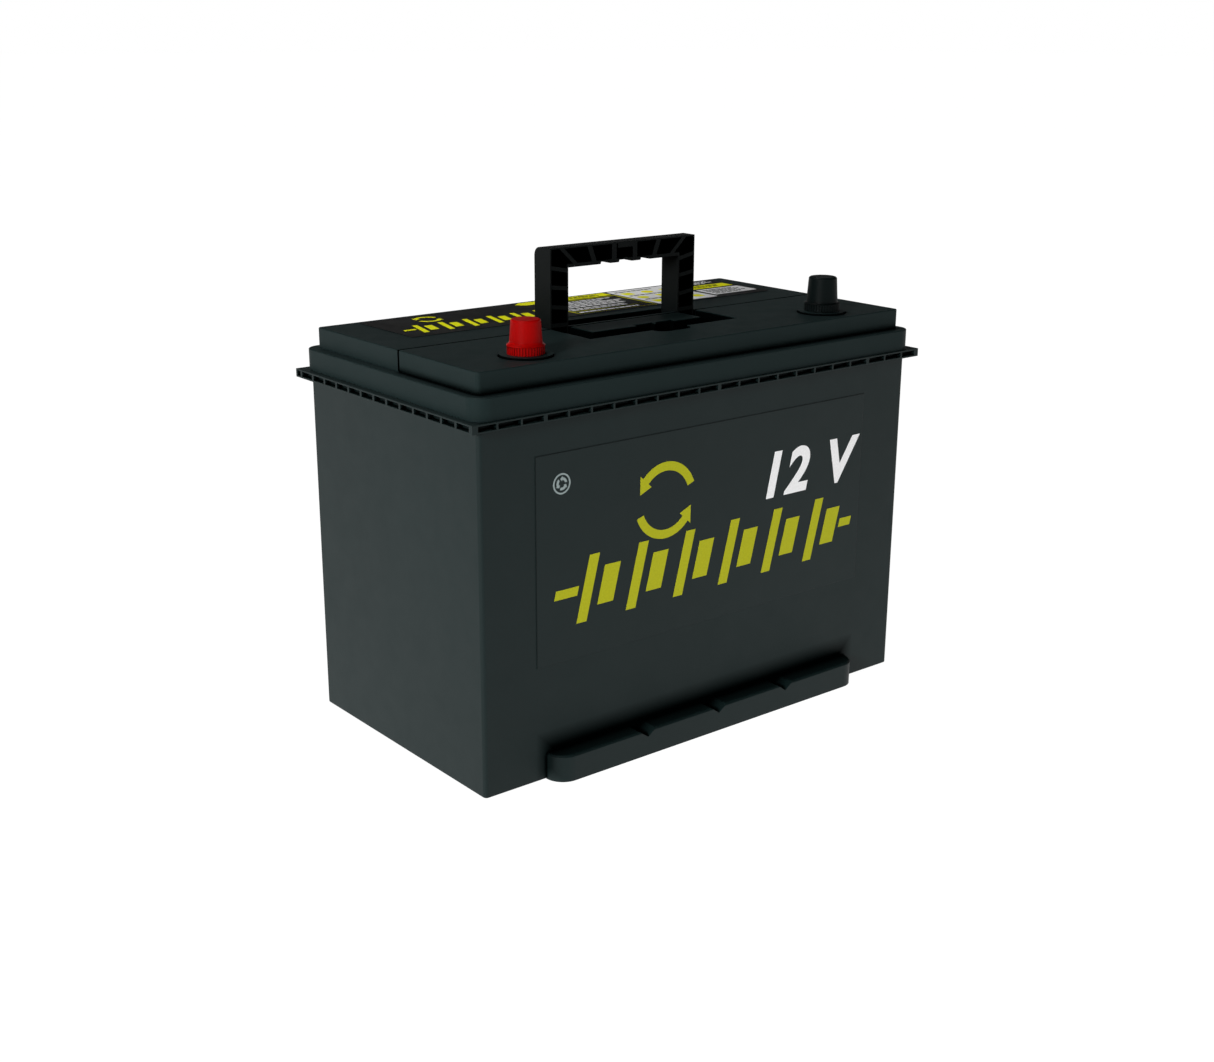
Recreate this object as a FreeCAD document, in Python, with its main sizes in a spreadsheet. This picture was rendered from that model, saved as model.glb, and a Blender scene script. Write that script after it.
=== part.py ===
"""Deep cycle battery, 12 V, six cells: a parametric FreeCAD document.

Frame: X along the long side, -Y towards the front (the labelled long face), +Z up,
origin at the middle of the underside. Millimetres throughout.
"""

import FreeCAD, Part

import os
import re

import Sketcher

# Driving dimensions, in millimetres unless the name says otherwise.
SIZES = {
    # container
    "case_length": 287.6,
    "case_width": 153.0,
    "case_wall": 3.0,
    "case_corner": 2.2,
    "case_foot_round": 0.8,
    "rim_top": 187.7,
    "flange_length": 300.0,
    "flange_width": 162.0,
    "flange_bottom": 183.4,
    "flange_lip": 0.8,
    "pocket_depth": 3.8,
    "pocket_end_land": 3.2,
    "pocket_rib": 1.1,
    "pocket_thick_rib": 2.2,
    "front_rib_pitch": 13.62,
    "end_pocket_depth": 2.5,
    "end_land_front": 2.6,
    "end_land_rear": 1.4,
    "end_rib": 1.6,
    "end_rib_pitch": 11.92,
    "end_rib_first": -67.6,
    "partition": 1.8,
    "cell_length": 45.5,
    "rest_height": 8.0,
    "rest_width": 3.0,
    "rest_pitch": 36.0,
    # hold-down ledges
    "ledge_half_width": 87.0,
    "ledge_half_length": 106.8,
    "ledge_end_round": 10.2,
    "ledge_top": 14.0,
    "ledge_chamfer": 0.9,
    "notch_spread": 49.3,
    "notch_width": 10.6,
    "notch_depth": 3.8,
    # lid
    "lower_tier_length": 292.8,
    "lower_tier_width": 158.6,
    "lower_tier_corner": 8.5,
    "shelf_top": 198.8,
    "upper_tier_length": 282.0,
    "upper_tier_width": 145.3,
    "upper_tier_corner": 2.0,
    "lid_top": 209.5,
    "lid_wall": 3.0,
    "edge_round": 0.6,
    "seam_y": -6.2,
    "seam_gap": 0.7,
    "filler_y": 42.0,
    "filler_radius": 9.0,
    "filler_rim_radius": 12.6,
    "filler_neck": 7.0,
    # handle well
    "well_half_width": 50.1,
    "well_front": 39.8,
    "well_rear": 9.5,
    "well_floor": 193.4,
    "well_wall": 2.6,
    "island_half_width": 36.7,
    "island_front": 25.0,
    "island_rear": 3.0,
    "island_notch": 3.0,
    "scoop_x": 2.0,
    "scoop_half_width": 12.0,
    "scoop_reach": 46.8,
    "scoop_floor": 201.5,
    "scoop_round": 6.4,
    # handle and its pivot
    "pivot_y": 6.2,
    "pivot_z": 206.5,
    "pivot_radius": 2.0,
    "pivot_fit": 0.06,
    "pivot_length": 4.6,
    "saddle_length": 4.2,
    "saddle_half_width": 4.5,
    "saddle_gap": 0.5,
    "handle_half_width": 49.1,
    "handle_leg": 11.6,
    "handle_front": 5.3,
    "handle_rear": 8.2,
    "handle_foot": 204.1,
    "handle_foot_round": 2.0,
    "handle_top": 250.5,
    "handle_bar": 10.5,
    "handle_rear_round": 4.6,
    "handle_rim": 0.8,
    "handle_top_rim": 0.7,
    "handle_web": 4.0,
    "weld": 0.1,
    "bar_rib": 3.1,
    "leg_rib": 2.2,
    "middle_bar_left": 4.5,
    "middle_bar_right": 5.6,
    "middle_bar_drop": 3.0,
    "grip_rim": 1.9,
    "grip_boss_x": 1.0,
    "grip_boss_radius": 2.4,
    "grip_notch_depth": 1.2,
    "grip_notch_slant": 0.5,
    # vent cover, the rear strip of the top
    "cover_wall": 2.0,
    "port_width": 7.0,
    "port_height": 1.6,
    "port_spread": 118.0,
    "baffle_front": 13.5,
    "baffle_thickness": 1.8,
    "barrel_radius": 8.0,
    "barrel_wall": 1.4,
    "barrel_length": 12.0,
    "seal_thickness": 1.2,
    "seal_radius": 11.6,
    "gas_radius": 1.5,
    "arrestor_y": 56.0,
    "arrestor_radius": 10.0,
    "cup_height": 2.0,
    "arrestor_thickness": 3.0,
    # terminals and caps
    "terminal_x": 100.0,
    "terminal_y": 53.6,
    "collar_radius": 13.0,
    "collar_height": 1.0,
    "collar_groove": 0.5,
    "groove_depth": 0.8,
    "bushing_radius": 9.0,
    "bushing_boss_radius": 6.4,
    "bushing_boss_height": 1.8,
    "bushing_bottom": 200.0,
    "stud_radius": 4.0,
    "stud_head_radius": 6.0,
    "stud_head_bottom": 202.5,
    "stud_head_top": 206.5,
    "stud_top": 223.6,
    "stud_chamfer": 0.8,
    "seat_gap": 0.05,
    "cap_cavity_radius": 6.5,
    "cap_cavity_top_radius": 5.8,
    "cap_crown": 1.4,
    "cap_edge_round": 1.1,
    "cap_lip": 0.25,
    "knurl_radius": 0.22,
    "positive_cap_height": 16.5,
    "positive_band_radius": 9.1,
    "positive_band_height": 4.0,
    "positive_flare": 0.5,
    "positive_flare_height": 1.9,
    "positive_body_radius": 7.85,
    "positive_top_radius": 7.15,
    "negative_cap_height": 18.4,
    "negative_band_radius": 9.5,
    "negative_band_height": 4.3,
    "negative_flare": 0.15,
    "negative_flare_height": 0.6,
    "negative_body_radius": 8.5,
    "negative_top_radius": 7.6,
    # plates, straps and posts, inside the cells
    "plate_width": 140.0,
    "plate_bottom": 11.0,
    "plate_top": 146.0,
    "separator_top": 151.0,
    "positive_plate": 2.6,
    "negative_plate": 2.0,
    "separator": 1.2,
    "plate_pitch": 7.0,
    "lug_width": 12.0,
    "lug_y": 50.0,
    "strap_bottom": 160.0,
    "strap_thickness": 7.0,
    "strap_width": 19.0,
    "strap_length": 44.0,
    "tombstone": 4.0,
    "tombstone_top": 180.0,
    "slug_radius": 6.0,
    "riser_radius": 4.5,
    # labels
    "label_film": 0.2,
    "front_label_half_length": 112.2,
    "front_label_bottom": 60.0,
    "front_label_top": 166.4,
    "top_label_left": 118.3,
    "top_label_right": 129.6,
    "top_label_front": 17.4,
    "top_label_rear": 69.4,
    "label_corner": 2.0,
}

CELLS = 6
POSITIVE_PLATES = 6
NEGATIVE_PLATES = 7
SEPARATORS = 12
FRONT_RIBS = 21
END_RIBS = 13
KNURLS = 40
CELL_PITCH = "(cell_length + partition)"
BEYOND = 999  # further out than anything on the battery
LEAST_CUT = 0.01  # cubic millimetres
CUTS = tuple("PartDesign::" + kind for kind in ("Pocket", "SubtractiveBox", "SubtractiveCylinder"))

# Where the middle of each slanting rib of the handle meets the two rims it joins.
BAR_RIBS = ((41.6, 32.8), (23.45, 20.4), (7.05, 7.05))  # at the top rim, at the grip rim
LEG_RIBS = ((240.6, 238.5), (230.8, 229.4), (220.7, 219.3), (211.0, 210.7))  # outer, inner
GRIP_NOTCHES = ((-13.0, 6.5), (0.5, 8.9), (14.0, 6.5))  # middle, width
ISLAND_NOTCHES = ((-1.8, 12.4), (11.8, 12.2))  # middle, width

document = FreeCAD.newDocument("deep_cycle_battery")
sheet = document.addObject("Spreadsheet::Sheet", "sizes")
for row, (alias, number) in enumerate(SIZES.items(), 1):
    sheet.set(f"A{row}", alias)
    sheet.set(f"B{row}", str(number))
    sheet.setAlias(f"B{row}", alias)
document.recompute()


# ---------------------------------------------------------------- small helpers


def formula(text):
    """A formula in the sheet's aliases, as FreeCAD's expressions write it."""

    def cell(word):
        return "sizes." + word.group() if word.group() in SIZES else word.group()

    return re.sub(r"[a-z][a-z_]*", cell, str(text))


def new_body(name):
    body = document.addObject("PartDesign::Body", name)
    body.Label = name
    return body


def origin_feature(body, role):
    return next(f for f in body.Origin.OriginFeatures if f.Role == role)


def add_box(body, name, x, y, z, cut=False):
    """A block between the low and high formulas on each axis, added or cut."""
    kind = "PartDesign::SubtractiveBox" if cut else "PartDesign::AdditiveBox"
    box = body.newObject(kind, name)
    for axis, side, (low, high) in zip("xyz", ("Length", "Width", "Height"), (x, y, z)):
        box.setExpression(side, formula(f"({high}) - ({low})"))
        box.setExpression("Placement.Base." + axis, formula(low))
    return box


def cut_box(body, name, x, y, z):
    return add_box(body, name, x, y, z, cut=True)


def add_cylinder(body, name, centre, along, radius, axis="z", cut=False):
    """A round bar; centre holds the two other coordinates in x, y, z order."""
    kind = "PartDesign::SubtractiveCylinder" if cut else "PartDesign::AdditiveCylinder"
    bar = body.newObject(kind, name)
    turns = {
        "x": FreeCAD.Rotation(FreeCAD.Vector(0, 1, 0), 90),
        "y": FreeCAD.Rotation(FreeCAD.Vector(1, 0, 0), -90),
        "z": FreeCAD.Rotation(),
    }
    bar.Placement = FreeCAD.Placement(FreeCAD.Vector(), turns[axis])
    bar.setExpression("Radius", formula(radius))
    bar.setExpression("Height", formula(f"({along[1]}) - ({along[0]})"))
    places = list(centre)
    places.insert("xyz".index(axis), along[0])
    for letter, place in zip("xyz", places):
        bar.setExpression("Placement.Base." + letter, formula(place))
    return bar


def cut_cylinder(body, name, centre, along, radius, axis="z"):
    return add_cylinder(body, name, centre, along, radius, axis, cut=True)


def outline(body, name, plane, points, offset="0"):
    """A closed sketch of straight sides whose corners are bound to formulas."""
    sketch = body.newObject("Sketcher::SketchObject", name)
    sketch.AttachmentSupport = (origin_feature(body, plane), [""])
    sketch.MapMode = "FlatFace"
    sketch.setExpression("AttachmentOffset.Base.z", formula(offset))
    add_loop(sketch, points)
    return sketch


def add_loop(sketch, points):
    first = sketch.GeometryCount
    count = len(points)
    starts = [FreeCAD.Vector(i + 1, (i + 1) ** 2, 0) for i in range(count)]
    for i in range(count):
        sketch.addGeometry(Part.LineSegment(starts[i], starts[(i + 1) % count]), False)
    for i in range(count):
        following = first + (i + 1) % count
        sketch.addConstraint(Sketcher.Constraint("Coincident", first + i, 2, following, 1))
    for i, point in enumerate(points):
        for kind, start, coordinate in zip(("DistanceX", "DistanceY"), starts[i], point):
            index = sketch.addConstraint(Sketcher.Constraint(kind, first + i, 1, start))
            sketch.setExpression(f"Constraints[{index}]", formula(coordinate))


def pad(body, name, sketch, length, reverse=False):
    feature = body.newObject("PartDesign::Pad", name)
    feature.Profile = sketch
    feature.setExpression("Length", formula(length))
    feature.Reversed = reverse
    return feature


def pocket(body, name, sketch, length, reverse=False):
    feature = body.newObject("PartDesign::Pocket", name)
    feature.Profile = sketch
    feature.setExpression("Length", formula(length))
    feature.Reversed = reverse
    return feature


def revolve(body, name, sketch):
    """Turn a profile on the XZ plane a full turn about Z."""
    feature = body.newObject("PartDesign::Revolution", name)
    feature.Profile = sketch
    feature.ReferenceAxis = (origin_feature(body, "Z_Axis"), [""])
    feature.Angle = 360
    return feature


def repeat(body, name, features, axis, length, count):
    """Copies of the features over a length, the last one at its far end."""
    pattern = body.newObject("PartDesign::LinearPattern", name)
    pattern.Originals = features
    pattern.Direction = (origin_feature(body, axis), [""])
    pattern.setExpression("Length", formula(length))
    pattern.Occurrences = count
    body.Tip = pattern
    return pattern


def repeat_round(body, name, feature, count):
    """Copies of a feature spread evenly round the Z axis."""
    pattern = body.newObject("PartDesign::PolarPattern", name)
    pattern.Originals = [feature]
    pattern.Axis = (origin_feature(body, "Z_Axis"), [""])
    pattern.Angle = 360
    pattern.Occurrences = count
    body.Tip = pattern
    return pattern


def dress(body, kind, name, radius, chosen):
    """Fillet or chamfer the body's edges that the test chooses."""
    document.recompute()
    base = body.Tip
    edges = [f"Edge{n}" for n, edge in enumerate(base.Shape.Edges, 1) if chosen(edge)]
    if not edges:
        raise RuntimeError(f"{name}: no edge was chosen")
    feature = body.newObject("PartDesign::" + kind, name)
    feature.Base = (base, edges)
    size = "Radius" if kind == "Fillet" else "Size"
    feature.setExpression(size, formula(radius))
    return feature


def upright(edge):
    """True for a straight vertical edge."""
    box = edge.BoundBox
    return box.XLength < 1e-6 and box.YLength < 1e-6 and box.ZLength > 1e-3


def level_at(height):
    """A test for edges that lie flat at a height."""

    def chosen(edge):
        box = edge.BoundBox
        return box.ZLength < 1e-6 and abs(box.ZMin - height) < 1e-4

    return chosen


def both(first, second):
    return lambda edge: first(edge) and second(edge)


def inside(low_x, high_x, low_y, high_y):
    """A test for edges whose middle lies in a rectangle in plan."""

    def chosen(edge):
        middle = edge.BoundBox.Center
        return low_x < middle.x < high_x and low_y < middle.y < high_y

    return chosen


def cell_centre(number):
    return f"({number} - 3.5) * {CELL_PITCH}"


# ---------------------------------------------------------------- container


def ledge(body, side, name):
    """A hold-down ledge along the foot, with rounded ends, a bevelled edge and three notches."""
    wall, face = f"{side} * (case_width / 2 - case_wall / 2)", f"{side} * ledge_half_width"
    add_box(
        body,
        name + "_bar",
        ("-ledge_half_length", "ledge_half_length"),
        (face, wall) if side < 0 else (wall, face),
        (0, "ledge_top"),
    )
    reach = side * SIZES["ledge_half_width"]
    ends = both(upright, inside(-BEYOND, BEYOND, reach - 0.1, reach + 0.1))
    dress(body, "Fillet", name + "_ends", "ledge_end_round", ends)
    foot = side * (SIZES["case_width"] / 2 + 0.05)
    outside = inside(-BEYOND, BEYOND, *sorted((foot, side * BEYOND)))
    edge = both(level_at(SIZES["ledge_top"]), outside)
    dress(body, "Chamfer", name + "_bevel", "ledge_chamfer", edge)
    notch = outline(
        body,
        name + "_notch_profile",
        "XZ_Plane",
        [
            ("-notch_spread - notch_width / 2", "ledge_top"),
            ("-notch_spread", "ledge_top - notch_depth"),
            ("-notch_spread + notch_width / 2", "ledge_top"),
            ("-notch_spread + notch_width / 2", "ledge_top + 1"),
            ("-notch_spread - notch_width / 2", "ledge_top + 1"),
        ],
        f"{-side} * (ledge_half_width + 1)",
    )
    depth = "ledge_half_width + 1 - case_width / 2"
    notch = pocket(body, name + "_notch", notch, depth, reverse=side > 0)
    repeat(body, name + "_notches", [notch], "X_Axis", "2 * notch_spread", 3)


def make_container():
    """The case: six cells in a row, a ribbed flange round the rim, two hold-down ledges."""
    body = new_body("container")
    half_length, half_width = "case_length / 2", "case_width / 2"
    add_box(
        body,
        "case_block",
        (f"-{half_length}", half_length),
        (f"-{half_width}", half_width),
        (0, "rim_top"),
    )
    dress(body, "Fillet", "case_corners", "case_corner", upright)
    dress(body, "Fillet", "foot_round", "case_foot_round", level_at(0))
    ledge(body, -1, "front_ledge")
    ledge(body, 1, "rear_ledge")
    add_box(
        body,
        "flange",
        ("-flange_length / 2", "flange_length / 2"),
        ("-flange_width / 2", "flange_width / 2"),
        ("flange_bottom", "rim_top"),
    )
    flange_pockets(body)
    cell = cut_box(
        body,
        "cell",
        (cell_centre(1) + " - cell_length / 2", cell_centre(1) + " + cell_length / 2"),
        ("-case_width / 2 + case_wall", "case_width / 2 - case_wall"),
        ("case_wall", "rim_top + 1"),
    )
    repeat(body, "cells", [cell], "X_Axis", f"5 * {CELL_PITCH}", CELLS)
    rest = add_box(
        body,
        "plate_rest",
        (cell_centre(1) + " - cell_length / 2", cell_centre(6) + " + cell_length / 2"),
        ("-1.5 * rest_pitch - rest_width / 2", "-1.5 * rest_pitch + rest_width / 2"),
        ("case_wall - 0.5", "case_wall + rest_height"),
    )
    repeat(body, "plate_rests", [rest], "Y_Axis", "3 * rest_pitch", 4)
    wall_holes(body)
    return body


def flange_pockets(body):
    """Shallow pockets round the flange, parted by thin ribs."""
    height = ("flange_bottom + flange_lip", "rim_top - flange_lip")
    reach = "flange_length / 2 - pocket_end_land"
    for side, name in ((-1, "front"), (1, "rear")):
        face, back = f"{side} * flange_width / 2", f"{side} * (flange_width / 2 - pocket_depth)"
        y = (face, back) if side < 0 else (back, face)
        cut_box(body, name + "_groove", (f"-({reach})", reach), y, height)
        for kind, first, width, count in (
            ("rib", "-10 * front_rib_pitch", "pocket_rib", FRONT_RIBS),
            ("thick_rib", "-8 * front_rib_pitch", "pocket_thick_rib", 3),
        ):
            x = (f"{first} - {width} / 2", f"{first} + {width} / 2")
            rib = add_box(body, f"{name}_{kind}", x, y, height)
            repeat(body, f"{name}_{kind}s", [rib], "X_Axis", f"-2 * ({first})", count)
    ends = ("-flange_width / 2 + end_land_front", "flange_width / 2 - end_land_rear")
    for side, name in ((-1, "left"), (1, "right")):
        face = f"{side} * flange_length / 2"
        back = f"{side} * (flange_length / 2 - end_pocket_depth)"
        x = (face, back) if side < 0 else (back, face)
        cut_box(body, name + "_groove", x, ends, height)
        y = ("end_rib_first - end_rib / 2", "end_rib_first + end_rib / 2")
        rib = add_box(body, name + "_rib", x, y, height)
        repeat(body, name + "_ribs", [rib], "Y_Axis", f"{END_RIBS - 1} * end_rib_pitch", END_RIBS)


def connector_y(wall):
    """The connectors alternate between the rear and the front of the cells."""
    return "lug_y" if wall % 2 else "-lug_y"


def connector_z():
    return "(strap_bottom + tombstone_top) / 2 + 1"


def wall_holes(body):
    """A round hole through each inner wall, for the connector between two cells."""
    for wall in range(1, CELLS):
        middle = f"({wall} - 3) * {CELL_PITCH}"
        cut_cylinder(
            body,
            f"wall_hole_{wall}",
            (connector_y(wall), connector_z()),
            (f"{middle} - partition", f"{middle} + partition"),
            "slug_radius",
            axis="x",
        )


# ---------------------------------------------------------------- lid


def lower_rim(edge):
    """True for an edge round the outside of the lower tier."""
    middle = edge.valueAt(sum(edge.ParameterRange) / 2)
    beyond_x = abs(middle.x) > SIZES["upper_tier_length"] / 2 + 0.5
    beyond_y = abs(middle.y) > SIZES["upper_tier_width"] / 2 + 0.5
    return beyond_x or beyond_y


def make_lid():
    """The cover: a low tier all round, the high front strip, the handle well and the shelf."""
    body = new_body("lid")
    half_length, half_width = SIZES["upper_tier_length"] / 2, SIZES["upper_tier_width"] / 2
    add_box(
        body,
        "front_strip",
        ("-upper_tier_length / 2", "upper_tier_length / 2"),
        ("-upper_tier_width / 2", "seam_y"),
        ("shelf_top - 2", "lid_top"),
    )
    front = inside(-half_length - 1, half_length + 1, -half_width - 1, -half_width + 1)
    dress(body, "Fillet", "front_strip_corners", "upper_tier_corner", both(upright, front))
    rim = inside(-half_length - 1, half_length + 1, -half_width - 1, SIZES["seam_y"] - 1)
    dress(body, "Fillet", "front_strip_edge", "edge_round", both(level_at(SIZES["lid_top"]), rim))
    add_box(
        body,
        "lower_tier",
        ("-lower_tier_length / 2", "lower_tier_length / 2"),
        ("-lower_tier_width / 2", "lower_tier_width / 2"),
        ("rim_top", "shelf_top"),
    )
    low_half = SIZES["lower_tier_length"] / 2
    outermost = both(upright, lambda edge: abs(abs(edge.BoundBox.Center.x) - low_half) < 0.1)
    dress(body, "Fillet", "lower_tier_corners", "lower_tier_corner", outermost)
    dress(body, "Fillet", "shelf_edge", "edge_round", both(level_at(SIZES["shelf_top"]), lower_rim))
    add_box(
        body,
        "well_block",
        ("-well_half_width - well_wall", "well_half_width + well_wall"),
        ("-well_front - well_wall", "well_rear + well_wall"),
        ("well_floor - well_wall", "shelf_top - 1"),
    )
    lid_hollows(body)
    handle_well(body)
    collars(body)
    filler_holes(body)
    return body


def lid_hollows(body):
    """The head space over each cell, round the handle well, with a wall between cells."""
    inner = "(upper_tier_width / 2 - lid_wall)"
    low, middle, high = "well_floor - well_wall", "shelf_top - lid_wall", "lid_top - lid_wall"
    front = (f"-{inner}", "-well_front - well_wall")
    beside = ("-well_front - well_wall - 1", "seam_y - lid_wall")
    behind = ("seam_y - lid_wall - 1", "well_rear + well_wall + 1")
    rear = ("well_rear + well_wall", inner)
    for cell in range(1, CELLS + 1):
        centre = cell_centre(cell)
        near, far = f"{centre} - cell_length / 2", f"{centre} + cell_length / 2"
        cut_box(body, f"low_space_{cell}", (near, far), (f"-{inner}", inner), ("rim_top - 1", low))
        cut_box(body, f"rear_space_{cell}", (near, far), rear, (low + " - 1", middle))
        if cell == 1:
            near = "-upper_tier_length / 2 + lid_wall"
        if cell == CELLS:
            far = "upper_tier_length / 2 - lid_wall"
        cut_box(body, f"front_space_{cell}", (near, far), front, (low + " - 1", high))
        if cell == 2:
            far = "-well_half_width - well_wall"
        if cell == CELLS - 1:
            near = "well_half_width + well_wall"
        if cell in (1, 2, CELLS - 1, CELLS):
            cut_box(body, f"side_space_{cell}", (near, far), beside, (low + " - 1", high))
            cut_box(body, f"back_space_{cell}", (near, far), behind, (low + " - 1", middle))


def handle_well(body):
    """The U-shaped well that the handle folds into, with its island, scoop and saddles."""
    well = ("-well_half_width", "well_half_width")
    cut_box(body, "well", well, ("-well_front", "well_rear"), ("well_floor", "lid_top + 1"))
    add_box(
        body,
        "island",
        ("-island_half_width", "island_half_width"),
        ("-island_front", "-island_rear"),
        ("well_floor - 1", "lid_top"),
    )
    hollow = "island_half_width - well_wall"
    cut_box(
        body,
        "island_hollow",
        (f"-({hollow})", hollow),
        ("-island_front + island_notch + well_wall", "-island_rear - well_wall"),
        ("well_floor - well_wall - 1", "lid_top - well_wall"),
    )
    for number, (middle, width) in enumerate(ISLAND_NOTCHES, 1):
        cut_box(
            body,
            f"island_notch_{number}",
            (f"{middle} - {width} / 2", f"{middle} + {width} / 2"),
            ("-island_front - 1", "-island_front + island_notch"),
            ("well_floor", "lid_top + 1"),
        )
    add_box(
        body,
        "scoop_backing",
        ("scoop_x - scoop_half_width - well_wall", "scoop_x + scoop_half_width + well_wall"),
        ("-scoop_reach - well_wall", "-well_front - 1"),
        ("scoop_floor - well_wall", "lid_top - 1"),
    )
    cut_box(
        body,
        "scoop",
        ("scoop_x - scoop_half_width", "scoop_x + scoop_half_width"),
        ("-scoop_reach", "-well_front + 0.5"),
        ("scoop_floor", "lid_top + 1"),
    )
    reach = -SIZES["scoop_reach"]
    corner = both(upright, inside(-BEYOND, BEYOND, reach - 0.1, reach + 0.1))
    dress(body, "Fillet", "scoop_corners", "scoop_round", corner)
    for side, name in ((-1, "left"), (1, "right")):
        near, far = f"{side} * well_half_width", f"{side} * (well_half_width + saddle_length)"
        x = (far, near) if side < 0 else (near, far)
        add_box(
            body,
            f"{name}_saddle",
            x,
            ("pivot_y - saddle_half_width", "pivot_y + saddle_half_width"),
            ("shelf_top - 1", "pivot_z"),
        )
        cut_cylinder(
            body,
            f"{name}_saddle_bore",
            ("pivot_y", "pivot_z"),
            (x[0] + " - 0.5", x[1] + " + 0.5"),
            "pivot_radius + pivot_fit",
            axis="x",
        )


def collars(body):
    """The raised round collars, each in a fine groove, with the bore for its lead bushing."""
    for side, name in ((-1, "positive"), (1, "negative")):
        centre = (f"{side} * terminal_x", "-terminal_y")
        top = "lid_top + collar_height"
        groove = ("lid_top - groove_depth", "lid_top + 1")
        cut_cylinder(body, f"{name}_groove", centre, groove, "collar_radius + collar_groove")
        add_cylinder(body, f"{name}_collar", centre, ("bushing_bottom", top), "collar_radius")
        cut_cylinder(body, f"{name}_bore", centre, ("rim_top", top + " + 1"), "bushing_radius")


def filler_holes(body):
    """One filler hole over each cell, in the shelf under the vent cover."""
    centre = (cell_centre(1), "filler_y")
    depth = ("shelf_top - filler_neck", "shelf_top - 1")
    neck = add_cylinder(body, "filler_neck", centre, depth, "filler_rim_radius")
    repeat(body, "filler_necks", [neck], "X_Axis", f"5 * {CELL_PITCH}", CELLS)
    depth = ("shelf_top - filler_neck - 1", "shelf_top + 1")
    hole = cut_cylinder(body, "filler_hole", centre, depth, "filler_radius")
    repeat(body, "filler_holes", [hole], "X_Axis", f"5 * {CELL_PITCH}", CELLS)


# ---------------------------------------------------------------- vent cover


def cover_outline(body, name, inset, offset):
    """The rear strip in plan, notched round the rear of the handle well."""
    side = f"upper_tier_length / 2 - ({inset})"
    front = f"seam_y + seam_gap + ({inset})"
    rear = f"upper_tier_width / 2 - ({inset})"
    notch_side = f"well_half_width + ({inset})"
    notch_rear = f"well_rear + ({inset})"
    points = [
        (f"-({side})", front),
        (f"-({notch_side})", front),
        (f"-({notch_side})", notch_rear),
        (notch_side, notch_rear),
        (notch_side, front),
        (side, front),
        (side, rear),
        (f"-({side})", rear),
    ]
    return outline(body, name, "XY_Plane", points, offset)


def make_vent_cover():
    """The rear strip of the top: a shallow shell that lifts off to open the cells."""
    body = new_body("vent_cover")
    plan = cover_outline(body, "cover_plan", "0", "shelf_top + seat_gap")
    pad(body, "cover_block", plan, "lid_top - shelf_top - seat_gap")
    half, rear = SIZES["upper_tier_length"] / 2, SIZES["upper_tier_width"] / 2
    corner = both(upright, inside(-half - 1, half + 1, rear - 1, rear + 1))
    dress(body, "Fillet", "cover_corners", "upper_tier_corner", corner)
    outer = both(
        level_at(SIZES["lid_top"]),
        lambda edge: not inside(-half + 3, half - 3, -BEYOND, rear - 3)(edge),
    )
    dress(body, "Fillet", "cover_edge", "edge_round", outer)
    hollow = cover_outline(body, "cover_hollow_plan", "cover_wall", "shelf_top - 1")
    pocket(body, "cover_hollow", hollow, "lid_top - shelf_top + 1 - cover_wall", reverse=True)
    for side, name in ((-1, "left"), (1, "right")):
        near = f"{side} * (well_half_width - 1)"
        far = f"{side} * (well_half_width + saddle_length + saddle_gap)"
        cut_box(
            body,
            f"{name}_saddle_slot",
            (far, near) if side < 0 else (near, far),
            (
                "pivot_y - saddle_half_width - saddle_gap",
                "pivot_y + saddle_half_width + saddle_gap",
            ),
            ("shelf_top - 1", "pivot_z + pivot_radius + saddle_gap / 2"),
        )
        middle = f"{side} * port_spread"
        cut_box(
            body,
            f"{name}_port",
            (f"{middle} - port_width / 2", f"{middle} + port_width / 2"),
            ("upper_tier_width / 2 - cover_wall - 1", "upper_tier_width / 2 + 1"),
            ("shelf_top + 5", "shelf_top + 5 + port_height"),
        )
    return body


def make_vent_baffle():
    """The plate under the vent cover, with a hollow barrel for each filler hole."""
    body = new_body("vent_baffle")
    side = "upper_tier_length / 2 - cover_wall"
    rear = "upper_tier_width / 2 - cover_wall"
    base = "shelf_top + seal_thickness"
    add_box(
        body,
        "baffle_plate",
        (f"-({side})", side),
        ("baffle_front", rear),
        (base, base + " + baffle_thickness"),
    )
    centre = (cell_centre(1), "filler_y")
    barrel = add_cylinder(
        body, "barrel", centre, ("shelf_top - barrel_length", base + " + 0.5"), "barrel_radius"
    )
    repeat(body, "barrels", [barrel], "X_Axis", f"5 * {CELL_PITCH}", CELLS)
    bore = cut_cylinder(
        body,
        "barrel_bore",
        centre,
        ("shelf_top - barrel_length - 1", base),
        "barrel_radius - barrel_wall",
    )
    repeat(body, "barrel_bores", [bore], "X_Axis", f"5 * {CELL_PITCH}", CELLS)
    lip = base + " + baffle_thickness"
    gas = cut_cylinder(body, "gas_hole", centre, (base + " - 1", lip + " + 1"), "gas_radius")
    repeat(body, "gas_holes", [gas], "X_Axis", f"5 * {CELL_PITCH}", CELLS)
    for sign, name in ((-1, "left"), (1, "right")):
        seat = (f"{sign} * port_spread", "arrestor_y")
        cup = (lip + " - 0.5", lip + " + cup_height")
        add_cylinder(body, name + "_arrestor_cup", seat, cup, "arrestor_radius + barrel_wall")
        inner = (lip, lip + " + cup_height + 1")
        cut_cylinder(body, name + "_arrestor_seat", seat, inner, "arrestor_radius")
    return body


def make_vent_seals():
    """A flat rubber ring round each barrel, between the baffle and the shelf."""
    body = new_body("vent_seals")
    centre = (cell_centre(1), "filler_y")
    height = ("shelf_top", "shelf_top + seal_thickness")
    ring = add_cylinder(body, "ring", centre, height, "seal_radius")
    repeat(body, "rings", [ring], "X_Axis", f"5 * {CELL_PITCH}", CELLS)
    hole = cut_cylinder(
        body, "ring_hole", centre, ("shelf_top - 1", "shelf_top + seal_thickness + 1"), "barrel_radius"
    )
    repeat(body, "ring_holes", [hole], "X_Axis", f"5 * {CELL_PITCH}", CELLS)
    return body


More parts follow.
